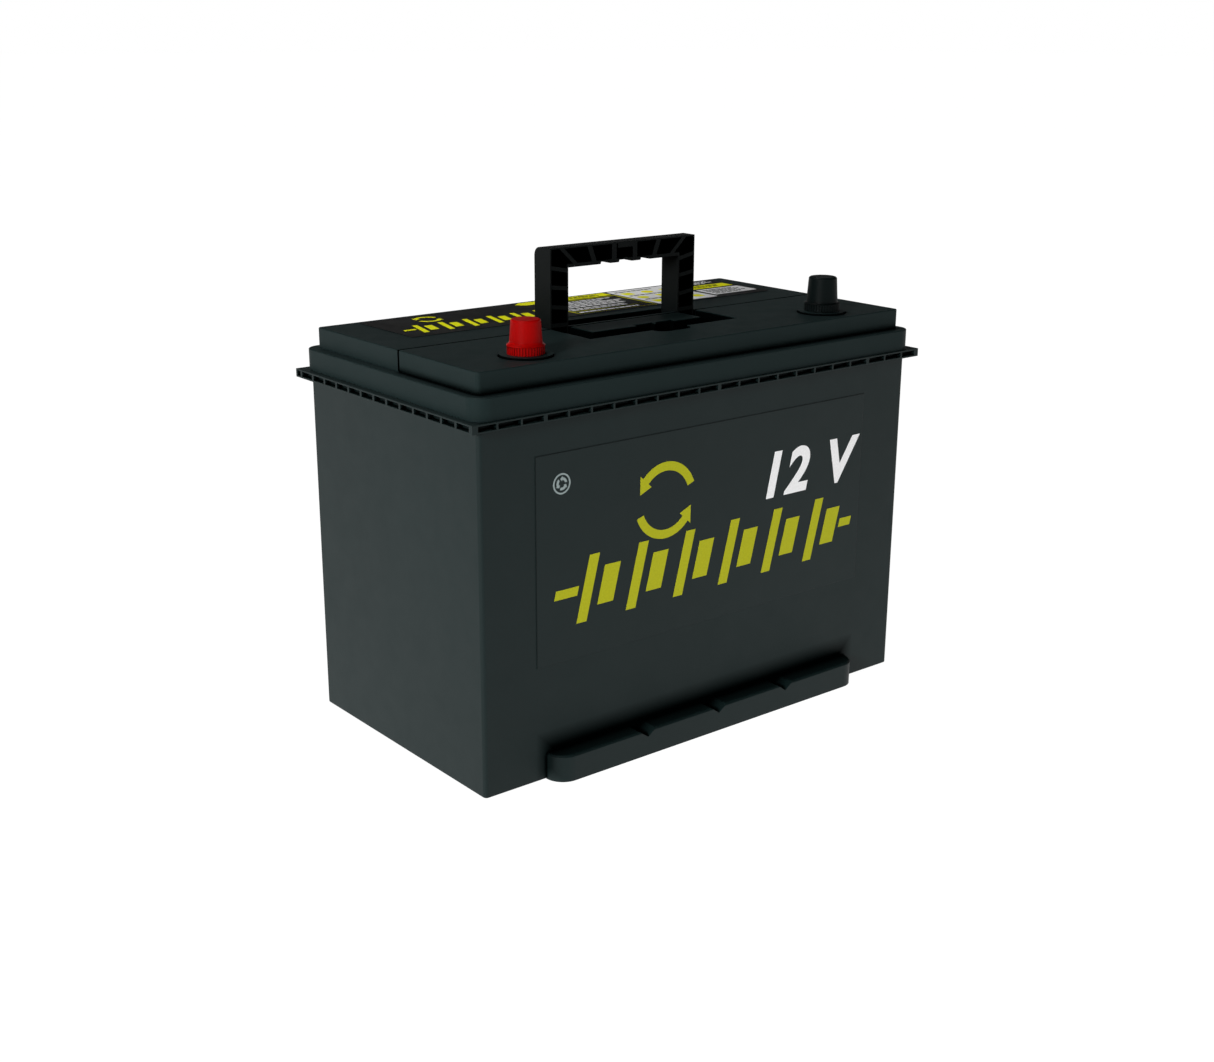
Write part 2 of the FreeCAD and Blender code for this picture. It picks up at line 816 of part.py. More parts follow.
def make_flame_arrestors():
    """Two porous discs that the gas leaves through."""
    body = new_body("flame_arrestors")
    base = "shelf_top + seal_thickness + baffle_thickness"
    disc = add_cylinder(
        body,
        "disc",
        ("-port_spread", "arrestor_y"),
        (base, base + " + arrestor_thickness"),
        "arrestor_radius",
    )
    repeat(body, "discs", [disc], "X_Axis", "2 * port_spread", 2)
    return body


# ---------------------------------------------------------------- handle


def handle_ribs(body):
    """Slanting ribs across the open channel of the bar and of both legs."""
    top, under = "handle_top - handle_top_rim + weld", "handle_top - handle_bar + grip_rim - weld"
    outer = "handle_half_width - handle_rim + weld"
    inner = "handle_half_width - handle_leg + handle_rim - weld"
    loops = []
    for side in (-1, 1):
        for at_top, at_bottom in BAR_RIBS:
            loops.append(
                [
                    (f"{side} * {at_bottom} - bar_rib / 2", under),
                    (f"{side} * {at_bottom} + bar_rib / 2", under),
                    (f"{side} * {at_top} + bar_rib / 2", top),
                    (f"{side} * {at_top} - bar_rib / 2", top),
                ]
            )
        for at_outer, at_inner in LEG_RIBS:
            loops.append(
                [
                    (f"{side} * ({outer})", f"{at_outer} - leg_rib / 2"),
                    (f"{side} * ({inner})", f"{at_inner} - leg_rib / 2"),
                    (f"{side} * ({inner})", f"{at_inner} + leg_rib / 2"),
                    (f"{side} * ({outer})", f"{at_outer} + leg_rib / 2"),
                ]
            )
    depth = "handle_front + handle_rear - handle_web + weld"
    for number, loop in enumerate(loops, 1):
        profile = outline(body, f"rib_profile_{number}", "XZ_Plane", loop, "handle_front")
        pad(body, f"rib_{number}", profile, depth, reverse=True)


def channel_outline(body, name, rim, offset):
    """The open channel of the handle: the bar and both legs, inset by the rim."""
    outer = f"handle_half_width - {rim}"
    inner = f"handle_half_width - handle_leg + {rim}"
    foot = f"handle_foot + {rim}"
    points = [
        (f"-({outer})", foot),
        (f"-({inner})", foot),
        (f"-({inner})", "handle_top - handle_bar + grip_rim"),
        (inner, "handle_top - handle_bar + grip_rim"),
        (inner, foot),
        (outer, foot),
        (outer, "handle_top - handle_top_rim"),
        (f"-({outer})", "handle_top - handle_top_rim"),
    ]
    return outline(body, name, "XZ_Plane", points, offset)


def make_handle():
    """The carrying handle: a square loop with an open channel at the front, and pivot pegs."""
    body = new_body("handle")
    outer, inner = "handle_half_width", "handle_half_width - handle_leg"
    profile = outline(
        body,
        "handle_profile",
        "XZ_Plane",
        [
            (f"-{outer}", "handle_foot"),
            (f"-({inner})", "handle_foot"),
            (f"-({inner})", "handle_top - handle_bar"),
            (inner, "handle_top - handle_bar"),
            (inner, "handle_foot"),
            (outer, "handle_foot"),
            (outer, "handle_top"),
            (f"-{outer}", "handle_top"),
        ],
        "handle_front",
    )
    pad(body, "handle_block", profile, "handle_front + handle_rear", reverse=True)
    rear, top, foot = SIZES["handle_rear"], SIZES["handle_top"], SIZES["handle_foot"]
    back = inside(-60, 60, rear - 0.1, rear + 0.1)
    dress(body, "Fillet", "rear_top_round", "handle_rear_round", both(level_at(top), back))
    dress(body, "Fillet", "rear_foot_round", "handle_foot_round", both(level_at(foot), back))
    channel = channel_outline(body, "channel_profile", "handle_rim", "handle_front + 1")
    depth = "handle_front + 1 + handle_rear - handle_web"
    pocket(body, "channel", channel, depth)
    handle_ribs(body)
    grip(body)
    for side, name in ((-1, "left"), (1, "right")):
        near = f"{side} * (handle_half_width - handle_rim)"
        far = f"{side} * (handle_half_width + pivot_length)"
        x = (far, near) if side < 0 else (near, far)
        add_cylinder(body, f"{name}_peg", ("pivot_y", "pivot_z"), x, "pivot_radius", axis="x")
    return body


def grip(body):
    """The short bar and the boss in the middle of the grip, and the finger notches under it."""
    depth = ("-handle_front", "handle_rear - handle_web + weld")
    under = "handle_top - handle_bar"
    height = ("handle_top - middle_bar_drop", "handle_top - handle_top_rim + weld")
    add_box(body, "middle_bar", ("-middle_bar_left", "middle_bar_right"), depth, height)
    add_cylinder(
        body, "middle_boss", ("grip_boss_x", under), depth, "grip_boss_radius", axis="y"
    )
    loops = []
    for middle, width in GRIP_NOTCHES:
        loops.append(
            [
                (f"{middle} - {width} / 2", f"{under} - grip_boss_radius - 1"),
                (f"{middle} + {width} / 2", f"{under} - grip_boss_radius - 1"),
                (f"{middle} + {width} / 2", under),
                (f"{middle} + {width} / 2 - grip_notch_slant", f"{under} + grip_notch_depth"),
                (f"{middle} - {width} / 2 + grip_notch_slant", f"{under} + grip_notch_depth"),
                (f"{middle} - {width} / 2", under),
            ]
        )
    profile = outline(body, "notch_profile", "XZ_Plane", loops[0], "handle_front + 1")
    for loop in loops[1:]:
        add_loop(profile, loop)
    pocket(body, "finger_notches", profile, "handle_front + handle_rear + 2")


# ---------------------------------------------------------------- terminals


def make_bushing(name, side):
    """The lead bushing moulded into the lid, with a low boss that the cap grips."""
    body = new_body(name)
    centre = (f"{side} * terminal_x", "-terminal_y")
    top = "lid_top + collar_height"
    add_cylinder(body, name + "_barrel", centre, ("bushing_bottom", top), "bushing_radius")
    boss = (top + " - 1", top + " + bushing_boss_height")
    add_cylinder(body, name + "_boss", centre, boss, "bushing_boss_radius")
    head = ("stud_head_bottom", "stud_head_top")
    cut_cylinder(body, name + "_socket", centre, head, "stud_head_radius")
    cut_cylinder(body, name + "_hole", centre, ("stud_head_top - 1", "lid_top + 6"), "stud_radius")
    return body


def make_stud(name, side):
    """The M8 stud, its round head cast into the bushing."""
    body = new_body(name)
    centre = (f"{side} * terminal_x", "-terminal_y")
    add_cylinder(body, name + "_shank", centre, ("stud_head_top - 1", "stud_top"), "stud_radius")
    head = ("stud_head_bottom", "stud_head_top")
    add_cylinder(body, name + "_head", centre, head, "stud_head_radius")
    dress(body, "Chamfer", name + "_tip", "stud_chamfer", level_at(SIZES["stud_top"]))
    return body


def make_cap(name, side, polarity):
    """A soft cap over the stud: a knurled band at the foot, a tapered body, a rounded crown."""
    body = new_body(name)
    seat = "lid_top + collar_height + seat_gap"
    top = f"lid_top + collar_height + {polarity}_cap_height"
    band, barrel, crown = (f"{polarity}_{part}_radius" for part in ("band", "body", "top"))
    lip = f"{seat} + {polarity}_band_height"
    profile = outline(
        body,
        name + "_profile",
        "XZ_Plane",
        [
            ("cap_cavity_radius", seat),
            (band, seat),
            (band, f"{lip} - cap_lip"),
            (f"{band} + cap_lip", lip),
            (f"{barrel} + {polarity}_flare", f"{lip} + {polarity}_flare_height / 2"),
            (barrel, f"{lip} + {polarity}_flare_height"),
            (crown, top),
            ("0", top),
            ("0", f"{top} - cap_crown"),
            ("cap_cavity_top_radius", f"{top} - cap_crown"),
            ("cap_cavity_radius", f"{seat} + bushing_boss_height + 1"),
        ],
    )
    revolve(body, name + "_turned", profile)
    document.recompute()
    crown_height = SIZES["lid_top"] + SIZES["collar_height"] + SIZES[polarity + "_cap_height"]
    dress(body, "Fillet", name + "_crown", "cap_edge_round", level_at(crown_height))
    height = (f"{seat} - 1", f"{lip} - cap_lip")
    knurl = cut_cylinder(body, name + "_knurl", (band, 0), height, "knurl_radius")
    repeat_round(body, name + "_knurls", knurl, KNURLS)
    body.setExpression("Placement.Base.x", formula(f"{side} * terminal_x"))
    body.setExpression("Placement.Base.y", formula("-terminal_y"))
    return body


# ---------------------------------------------------------------- cells


def positive_side(cell):
    """+1 where a cell's positive lugs are at the rear, -1 where they are at the front."""
    return -1 if cell % 2 else 1


def make_plates(name, cell, side, first, thickness, count):
    """The plates of one polarity in one cell, each with its lug."""
    body = new_body(name)
    low = f"{cell_centre(cell)} + ({first}) - {thickness} / 2"
    x = (low, f"{low} + {thickness}")
    plate = add_box(
        body, name + "_plate", x, ("-plate_width / 2", "plate_width / 2"), ("plate_bottom", "plate_top")
    )
    lug = add_box(
        body,
        name + "_lug",
        x,
        (f"{side} * lug_y - lug_width / 2", f"{side} * lug_y + lug_width / 2"),
        ("plate_top - 1", "strap_bottom"),
    )
    repeat(body, name + "_stack", [plate, lug], "X_Axis", f"{count - 1} * plate_pitch", count)
    return body


def make_separators(name, cell):
    """The separator sheets between the plates of one cell."""
    body = new_body(name)
    gap = "(negative_plate / 2 + separator / 2)"
    count = SEPARATORS // 2
    for part, start in (("a", f"-3 * plate_pitch + {gap}"), ("b", f"-2 * plate_pitch - {gap}")):
        low = f"{cell_centre(cell)} + {start} - separator / 2"
        film = add_box(
            body,
            f"{name}_{part}",
            (low, low + " + separator"),
            ("-plate_width / 2 - 1", "plate_width / 2 + 1"),
            ("plate_bottom", "separator_top"),
        )
        length = f"{count - 1} * plate_pitch"
        repeat(body, f"{name}_{part}_stack", [film], "X_Axis", length, count)
    return body


def make_strap(name, cell, side, wall_side):
    """The cast strap over the lugs, with an upstand against the wall it is welded through."""
    body = new_body(name)
    middle = cell_centre(cell)
    y = (f"{side} * lug_y - strap_width / 2", f"{side} * lug_y + strap_width / 2")
    top = "strap_bottom + strap_thickness"
    x = (f"{middle} - strap_length / 2", f"{middle} + strap_length / 2")
    add_box(body, name + "_bar", x, y, ("strap_bottom", top))
    if wall_side:
        face = f"{middle} + {wall_side} * cell_length / 2"
        back = f"{face} - {wall_side} * tombstone"
        upstand = (face, back) if wall_side < 0 else (back, face)
        add_box(body, name + "_upstand", upstand, y, ("strap_bottom", "tombstone_top"))
    return body


def make_riser(name, side):
    """The lead post from an end strap up into the bushing in the lid."""
    body = new_body(name)
    foot = "strap_bottom + strap_thickness"
    centre = (f"{side} * terminal_x", "-terminal_y")
    add_cylinder(body, name + "_post", centre, (foot, "bushing_bottom"), "riser_radius")
    return body


def make_connectors():
    """The weld slug through each inner wall, which joins two straps."""
    body = new_body("intercell_connectors")
    for wall in range(1, CELLS):
        middle = f"({wall} - 3) * {CELL_PITCH}"
        add_cylinder(
            body,
            f"slug_{wall}",
            (connector_y(wall), connector_z()),
            (f"{middle} - partition / 2", f"{middle} + partition / 2"),
            "slug_radius - 0.05",
            axis="x",
        )
    return body


def make_cells():
    """Plates, separators and straps of all six cells, in series from left to right."""
    bodies = []
    for cell in range(1, CELLS + 1):
        side = positive_side(cell)
        prefix = f"cell_{cell}_"
        bodies.append(
            make_plates(
                prefix + "positive_plates",
                cell,
                side,
                "-2.5 * plate_pitch",
                "positive_plate",
                POSITIVE_PLATES,
            )
        )
        bodies.append(
            make_plates(
                prefix + "negative_plates",
                cell,
                -side,
                "-3 * plate_pitch",
                "negative_plate",
                NEGATIVE_PLATES,
            )
        )
        bodies.append(make_separators(prefix + "separators", cell))
        toward_previous = -1 if cell > 1 else 0
        toward_next = 1 if cell < CELLS else 0
        bodies.append(make_strap(prefix + "positive_strap", cell, side, toward_previous))
        bodies.append(make_strap(prefix + "negative_strap", cell, -side, toward_next))
    return bodies


# ---------------------------------------------------------------- labels


def make_front_label():
    """The printed film on the front of the case."""
    body = new_body("front_label")
    half = "front_label_half_length"
    add_box(
        body,
        "front_film",
        (f"-{half}", half),
        ("-case_width / 2 - label_film", "-case_width / 2"),
        ("front_label_bottom", "front_label_top"),
    )
    return body


def make_top_label():
    """The printed film on the vent cover."""
    body = new_body("top_label")
    add_box(
        body,
        "top_film",
        ("-top_label_left", "top_label_right"),
        ("top_label_front", "top_label_rear"),
        ("lid_top", "lid_top + label_film"),
    )
    dress(body, "Fillet", "top_film_corners", "label_corner", upright)
    return body


# ---------------------------------------------------------------- the whole battery


def make_battery():
    bodies = [
        make_container(),
        make_lid(),
        make_vent_cover(),
        make_vent_baffle(),
        make_vent_seals(),
        make_flame_arrestors(),
        make_handle(),
    ]
    for side, polarity in ((-1, "positive"), (1, "negative")):
        bodies.append(make_bushing(polarity + "_bushing", side))
        bodies.append(make_stud(polarity + "_stud", side))
        bodies.append(make_cap(polarity + "_cap", side, polarity))
        bodies.append(make_riser(polarity + "_riser", side))
    bodies += make_cells()
    bodies.append(make_connectors())
    bodies += [make_front_label(), make_top_label()]
    return bodies


def cuts_nothing(feature):
    """True for a cut that leaves the volume it started from."""
    if feature.TypeId not in CUTS:
        return False
    change = feature.BaseFeature.Shape.Volume - feature.Shape.Volume
    return change < LEAST_CUT


def check(bodies):
    document.recompute()
    failed = [o.Name for o in document.Objects if {"Invalid", "Error"} & set(o.State)]
    failed += [b.Name for b in bodies if b.Shape.isNull() or not b.Shape.isValid()]
    failed += [o.Name for o in document.Objects if cuts_nothing(o)]
    if failed:
        raise RuntimeError("these objects failed: " + ", ".join(failed))


def write(bodies):
    os.makedirs("parts", exist_ok=True)
    for body in bodies:
        solids = body.Shape.Solids
        print(f"{body.Label}: {len(solids)} solid(s), {body.Shape.Volume / 1000:.2f} cm3")
        body.Shape.exportStep(os.path.join("parts", body.Label + ".step"))


battery = make_battery()
check(battery)
write(battery)
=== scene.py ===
"""Looks for the deep cycle battery: materials, printed labels, stage, light and camera.

Metres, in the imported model's frame: X along the case, -Y to the front, +Z up.
"""

import math
import random

import bmesh
import bpy
from mathutils import Euler, Matrix, Vector


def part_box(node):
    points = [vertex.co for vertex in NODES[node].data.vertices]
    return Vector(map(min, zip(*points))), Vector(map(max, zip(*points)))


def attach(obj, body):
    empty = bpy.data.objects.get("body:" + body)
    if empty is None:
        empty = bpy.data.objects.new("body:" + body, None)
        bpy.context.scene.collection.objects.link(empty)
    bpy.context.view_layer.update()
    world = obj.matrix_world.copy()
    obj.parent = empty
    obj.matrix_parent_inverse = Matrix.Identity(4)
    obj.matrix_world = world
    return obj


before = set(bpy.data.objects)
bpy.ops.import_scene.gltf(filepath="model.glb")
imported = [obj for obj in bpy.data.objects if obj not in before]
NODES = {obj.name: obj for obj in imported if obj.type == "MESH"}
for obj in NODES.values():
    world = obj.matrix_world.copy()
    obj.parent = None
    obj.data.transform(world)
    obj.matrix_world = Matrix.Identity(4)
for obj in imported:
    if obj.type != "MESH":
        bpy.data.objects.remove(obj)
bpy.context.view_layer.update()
MM = 0.001

# The camera stands front left of the case, a little above its top.
CAMERA_PLACE = Vector((-0.54463, -0.66536, 0.35825))
CAMERA_YAW = math.radians(38.944)
CAMERA_PITCH = math.radians(17.33)
CAMERA_ROLL = math.radians(0.249)
CAMERA_LENS = 47.97

INK = 0.06 * MM  # thickness of a printed shape
LIFT = 0.01 * MM  # gap under a printed shape, so that two faces never share a plane
SLANT = math.tan(math.radians(14))
EDGE = 0.35 * MM  # how far the shading softens an edge
CREVICE = 22 * MM  # how near a wall has to be for a face to lie in a crevice
NARROW = 4 * MM  # the same on pieces with shallow steps
SHUT, OPEN = 0.60, 0.97  # how open a face's surroundings are in a crevice, and out in the open
PAINTED_SHADE_SHARE = 0.05  # share of a plastic's colour that is left where shade is painted, in a crevice or a shade box
THREAD = 1.25 * MM  # pitch of the studs

# Boxes where shade is painted, as light hardly gets in: opposite corners of a box and how softly
# it fades, in mm.
WELL = ((-50.5, -47.1, 190.0), (50.5, 9.9, 209.2), 0.1)
SEAM = [
    ((-145.0, -6.7, 209.0), (145.0, -5.0, 209.7), 0.1),
    ((-145.0, -6.7, 199.0), (-140.5, -5.0, 209.7), 0.1),
    ((140.5, -6.7, 199.0), (145.0, -5.0, 209.7), 0.1),
]
WALL_Y = 76.5  # from the middle of the case to a long wall, in mm
LEDGE_DEPTH = 10.5  # how far a ledge stands out from its wall, in mm
LEDGES = [
    ((-113.0, wall - LEDGE_DEPTH, 0.0), (113.0, wall + LEDGE_DEPTH, 26.0), 10.0)
    for wall in (-WALL_Y, WALL_Y)
]

NUMERAL_SHARE = 0.73  # height of a numeral over the size of its text
BOLD = 0.045  # how much a numeral is thickened, over its height
LETTER_GAP = 1.12  # pitch of the letters over the font's own

# The sky is white up to the first height on a unit sphere, and dim from the second one up.
WHITE_SKY_TOP = 0.06
DIM_SKY_START = 0.11
DIM_SKY = 0.035  # strength up there, where white is 1


# ---------------------------------------------------------------- materials


def new_material(name):
    material = bpy.data.materials.new(name)
    material.use_nodes = True
    return material, material.node_tree.nodes, material.node_tree.links


def noise(nodes, links, scale, detail=2.0, roughness=0.5):
    """Noise in the object's own coordinates, which are metres."""
    place = nodes.new("ShaderNodeTexCoord")
    texture = nodes.new("ShaderNodeTexNoise")
    texture.inputs["Scale"].default_value = scale
    texture.inputs["Detail"].default_value = detail
    texture.inputs["Roughness"].default_value = roughness
    links.new(place.outputs["Object"], texture.inputs["Vector"])
    return texture


def spread(nodes, links, source, low, high, start=0.3, end=0.7):
    """Map a noise output onto a range of numbers."""
    ramp = nodes.new("ShaderNodeMapRange")
    ramp.inputs["From Min"].default_value = start
    ramp.inputs["From Max"].default_value = end
    ramp.inputs["To Min"].default_value = low
    ramp.inputs["To Max"].default_value = high
    links.new(source, ramp.inputs["Value"])
    return ramp.outputs["Result"]


def blend_colours(nodes, links, factor, dark, light):
    mix = nodes.new("ShaderNodeMix")
    mix.data_type = "RGBA"
    mix.inputs["A"].default_value = (*dark, 1)
    mix.inputs["B"].default_value = (*light, 1)
    links.new(factor, mix.inputs["Factor"])
    return mix.outputs["Result"]


def openness(nodes, links, reach):
    """A factor that runs from 0 in a piece's own crevices to 1 on its open faces."""
    crevice = nodes.new("ShaderNodeAmbientOcclusion")
    crevice.samples = 8
    crevice.only_local = True
    crevice.inputs["Distance"].default_value = reach
    return spread(nodes, links, crevice.outputs["AO"], 0.0, 1.0, SHUT, OPEN)


def outside(nodes, links, low, high, fade):
    """A factor that is 0 inside a box given in millimetres and 1 outside it."""
    low, high = Vector(low) * MM, Vector(high) * MM
    place = nodes.new("ShaderNodeTexCoord").outputs["Object"]
    steps = (("SUBTRACT", (low + high) / 2), ("ABSOLUTE", None), ("SUBTRACT", (high - low) / 2))
    for operation, amount in steps:
        step = nodes.new("ShaderNodeVectorMath")
        step.operation = operation
        links.new(place, step.inputs[0])
        if amount is not None:
            step.inputs[1].default_value = amount
        place = step.outputs["Vector"]
    split = nodes.new("ShaderNodeSeparateXYZ")
    links.new(place, split.inputs["Vector"])
    beyond = split.outputs["X"]
    for axis in "YZ":
        beyond = combine(nodes, links, "MAXIMUM", beyond, split.outputs[axis])
    return spread(nodes, links, beyond, 0.0, 1.0, -fade * MM, 0.0)


def combine(nodes, links, operation, first, second):
    node = nodes.new("ShaderNodeMath")
    node.operation = operation
    links.new(first, node.inputs[0])
    links.new(second, node.inputs[1])
    return node.outputs["Value"]


def moulded(
    name, colour, roughness, specular, grain=0.45 * MM, depth=0.012 * MM, reach=NARROW, shade_boxes=()
):
    """Moulded plastic: a fine etched grain, faint flow marks, uneven gloss and soft edges.

    Painted shade darkens it in crevices up to reach wide and inside the given shade boxes.
    A piece with shade boxes or with deep crevices has its shine painted out there too.
    """
    material, nodes, links = new_material(name)
    shader = nodes["Principled BSDF"]
    shader.inputs["Specular IOR Level"].default_value = specular
    # Painted shade: ambient occlusion within reach, and the shade boxes, set how much colour and
    # shine are left
    unshaded = openness(nodes, links, reach)
    for box in shade_boxes:
        unshaded = combine(nodes, links, "MULTIPLY", unshaded, outside(nodes, links, *box))
    shades_shine = shade_boxes or reach > NARROW
    # Painted shade on the reflections: the shine falls to nothing in crevices and shade boxes
    if shades_shine:
        shine = spread(nodes, links, unshaded, 0.0, specular, 0.0, 1.0)
        links.new(shine, shader.inputs["Specular IOR Level"])
    flow = noise(nodes, links, 9.0, 2.0, 0.5)
    dark = tuple(c * 0.95 for c in colour)
    light = tuple(c * 1.05 for c in colour)
    factor = spread(nodes, links, flow.outputs["Fac"], 0.0, 1.0)
    surface = blend_colours(nodes, links, factor, dark, light)
    # Painted shade: the colour falls to a small share of itself in crevices and shade boxes
    painted_shade = nodes.new("ShaderNodeMix")
    painted_shade.data_type = "RGBA"
    painted_shade.inputs["A"].default_value = (*(c * PAINTED_SHADE_SHARE for c in colour), 1)
    links.new(surface, painted_shade.inputs["B"])
    links.new(unshaded, painted_shade.inputs["Factor"])
    links.new(painted_shade.outputs["Result"], shader.inputs["Base Color"])
    handling = noise(nodes, links, 70.0, 4.0, 0.6)
    gloss = spread(nodes, links, handling.outputs["Fac"], roughness - 0.02, roughness + 0.03)
    links.new(gloss, shader.inputs["Roughness"])
    etched = noise(nodes, links, 1 / grain, 2.0, 0.6)
    edges = nodes.new("ShaderNodeBevel")
    edges.samples = 4
    edges.inputs["Radius"].default_value = EDGE
    bump = nodes.new("ShaderNodeBump")
    links.new(edges.outputs["Normal"], bump.inputs["Normal"])
    bump.inputs["Strength"].default_value = 0.35
    bump.inputs["Distance"].default_value = depth
    links.new(etched.outputs["Fac"], bump.inputs["Height"])
    links.new(bump.outputs["Normal"], shader.inputs["Normal"])
    return material


def printed(name, colour, roughness, specular):
    """Ink on a film: nearly even colour with a faint mottle."""
    material, nodes, links = new_material(name)
    shader = nodes["Principled BSDF"]
    shader.inputs["Specular IOR Level"].default_value = specular
    mottle = noise(nodes, links, 900.0, 2.0, 0.5)
    dark = tuple(c * 0.94 for c in colour)
    light = tuple(min(1.0, c * 1.05) for c in colour)
    factor = spread(nodes, links, mottle.outputs["Fac"], 0.0, 1.0)
    links.new(blend_colours(nodes, links, factor, dark, light), shader.inputs["Base Color"])
    wear = noise(nodes, links, 60.0, 3.0, 0.5)
    gloss = spread(nodes, links, wear.outputs["Fac"], roughness - 0.05, roughness + 0.06)
    links.new(gloss, shader.inputs["Roughness"])
    return material


def metal(name, colour, roughness, mottle_scale):
    """Lead or steel, with uneven dullness and a slightly rough skin."""
    material, nodes, links = new_material(name)
    shader = nodes["Principled BSDF"]
    shader.inputs["Metallic"].default_value = 1.0
    mottle = noise(nodes, links, mottle_scale, 4.0, 0.6)
    dark = tuple(c * 0.7 for c in colour)
    factor = spread(nodes, links, mottle.outputs["Fac"], 0.0, 1.0)
    links.new(blend_colours(nodes, links, factor, dark, colour), shader.inputs["Base Color"])
    gloss = spread(nodes, links, mottle.outputs["Fac"], roughness + 0.1, roughness - 0.08)
    links.new(gloss, shader.inputs["Roughness"])
    bump = nodes.new("ShaderNodeBump")
    bump.inputs["Strength"].default_value = 0.3
    bump.inputs["Distance"].default_value = 0.03 * MM
    links.new(mottle.outputs["Fac"], bump.inputs["Height"])
    links.new(bump.outputs["Normal"], shader.inputs["Normal"])
    return material


def threaded(material):
    """Add the look of a screw thread along Z to a metal."""
    nodes, links = material.node_tree.nodes, material.node_tree.links
    place = nodes.new("ShaderNodeTexCoord")
    turns = nodes.new("ShaderNodeTexWave")
    turns.wave_type = "BANDS"
    turns.bands_direction = "Z"
    # At a scale of 1 the bands are pi / 10 apart.
    turns.inputs["Scale"].default_value = math.pi / 10 / THREAD
    links.new(place.outputs["Object"], turns.inputs["Vector"])
    relief = nodes.new("ShaderNodeBump")
    relief.inputs["Strength"].default_value = 1.0
    relief.inputs["Distance"].default_value = THREAD * 0.4
    links.new(turns.outputs["Fac"], relief.inputs["Height"])
    mottled = next(n for n in nodes if n.type == "BUMP" and n is not relief)
    links.new(relief.outputs["Normal"], mottled.inputs["Normal"])
    return material


# Every moulded plastic gets painted shade in its crevices; the case also on its walls over the
# ledges, and the lid in the well and along the seam.
CASE = moulded("case_plastic", (0.0048, 0.0125, 0.0125), 0.50, 0.18, reach=2 * MM, shade_boxes=LEDGES)
LID = moulded("lid_plastic", (0.0108, 0.0200, 0.0200), 0.50, 0.058, shade_boxes=(WELL, *SEAM))
HANDLE = moulded("handle_plastic", (0.0035, 0.0050, 0.0050), 0.50, 0.07, reach=CREVICE)
RED = moulded("red_cap_plastic", (0.34, 0.0010, 0.0008), 0.42, 0.04, 0.6 * MM, 0.02 * MM)
BLACK = moulded("black_cap_plastic", (0.0030, 0.0060, 0.0060), 0.45, 0.06, 0.6 * MM, 0.02 * MM)
RUBBER = moulded("seal_rubber", (0.012, 0.012, 0.012), 0.7, 0.3)
FRIT = moulded("arrestor_frit", (0.75, 0.74, 0.70), 0.8, 0.3, 0.8 * MM, 0.1 * MM)
SEPARATOR = moulded("separator_sheet", (0.62, 0.62, 0.58), 0.7, 0.3)
PLATE_BROWN = moulded("positive_plate", (0.075, 0.032, 0.020), 0.85, 0.2, 1.2 * MM, 0.1 * MM)
PLATE_GREY = moulded("negative_plate", (0.17, 0.18, 0.19), 0.8, 0.3, 1.2 * MM, 0.1 * MM)
LEAD = metal("lead", (0.30, 0.31, 0.33), 0.55, 300.0)
STEEL = threaded(metal("steel", (0.62, 0.62, 0.63), 0.28, 900.0))
FILM_DARK = moulded("front_film", (0.0048, 0.0125, 0.0125), 0.46, 0.18, 0.5 * MM, 0.006 * MM)
FILM_BLACK = printed("top_film", (0.0040, 0.0040, 0.0040), 0.45, 0.08)
OLIVE = printed("olive_ink", (0.445, 0.450, 0.010), 0.5, 0.10)
YELLOW = printed("yellow_ink", (0.980, 0.980, 0.001), 0.5, 0.10)
WHITE = printed("white_ink", (0.97, 0.97, 0.97), 0.5, 0.10)
GREY = printed("grey_ink", (0.30, 0.36, 0.36), 0.5, 0.10)
OUTLINE = printed("outline_ink", (0.0025, 0.0060, 0.0060), 0.5, 0.10)


def paint(material, *names):
    for name in names:
        mesh = NODES[name].data
        mesh.materials.clear()
        mesh.materials.append(material)


def paint_nodes():
    paint(CASE, "container")
    paint(LID, "lid", "vent_cover", "vent_baffle")
    paint(HANDLE, "handle")
    paint(RED, "positive_cap")
    paint(BLACK, "negative_cap")
    paint(RUBBER, "vent_seals")
    paint(FRIT, "flame_arrestors")
    paint(FILM_DARK, "front_label")
    paint(FILM_BLACK, "top_label")
    paint(STEEL, "positive_stud", "negative_stud")
    for name in NODES:
        if name.endswith("positive_plates"):
            paint(PLATE_BROWN, name)
        elif name.endswith("negative_plates"):
            paint(PLATE_GREY, name)
        elif name.endswith("separators"):
            paint(SEPARATOR, name)
        elif name.endswith(("strap", "bushing", "riser", "connectors")):
            paint(LEAD, name)


# ---------------------------------------------------------------- printed shapes
# A shape is a list of loops in millimetres on its label's plane; a loop inside another is a hole.


def slanted(x0, x1, y0, y1, slant=SLANT, foot=0.0):
    """A block between two heights whose sides lean; foot is the height where x is true."""
    lean0, lean1 = (y0 - foot) * slant, (y1 - foot) * slant
    return [(x0 + lean0, y0), (x1 + lean0, y0), (x1 + lean1, y1), (x0 + lean1, y1)]


def rectangle(x0, x1, y0, y1):
    return slanted(x0, x1, y0, y1, 0.0)


def rounded(x0, x1, y0, y1, r, steps=6):
    """A rectangle with round corners."""
    corners = (
        (x1 - r, y0 + r, -90),
        (x1 - r, y1 - r, 0),
        (x0 + r, y1 - r, 90),
        (x0 + r, y0 + r, 180),
    )
    loop = []
    for cx, cy, start in corners:
        for i in range(steps + 1):
            angle = math.radians(start + 90 * i / steps)
            loop.append((cx + r * math.cos(angle), cy + r * math.sin(angle)))
    return loop


def circle(cx, cy, r, steps=48):
    angles = [2 * math.pi * i / steps for i in range(steps)]
    return [(cx + r * math.cos(a), cy + r * math.sin(a)) for a in angles]


def ring(cx, cy, outer, inner):
    return [circle(cx, cy, outer), circle(cx, cy, inner)]


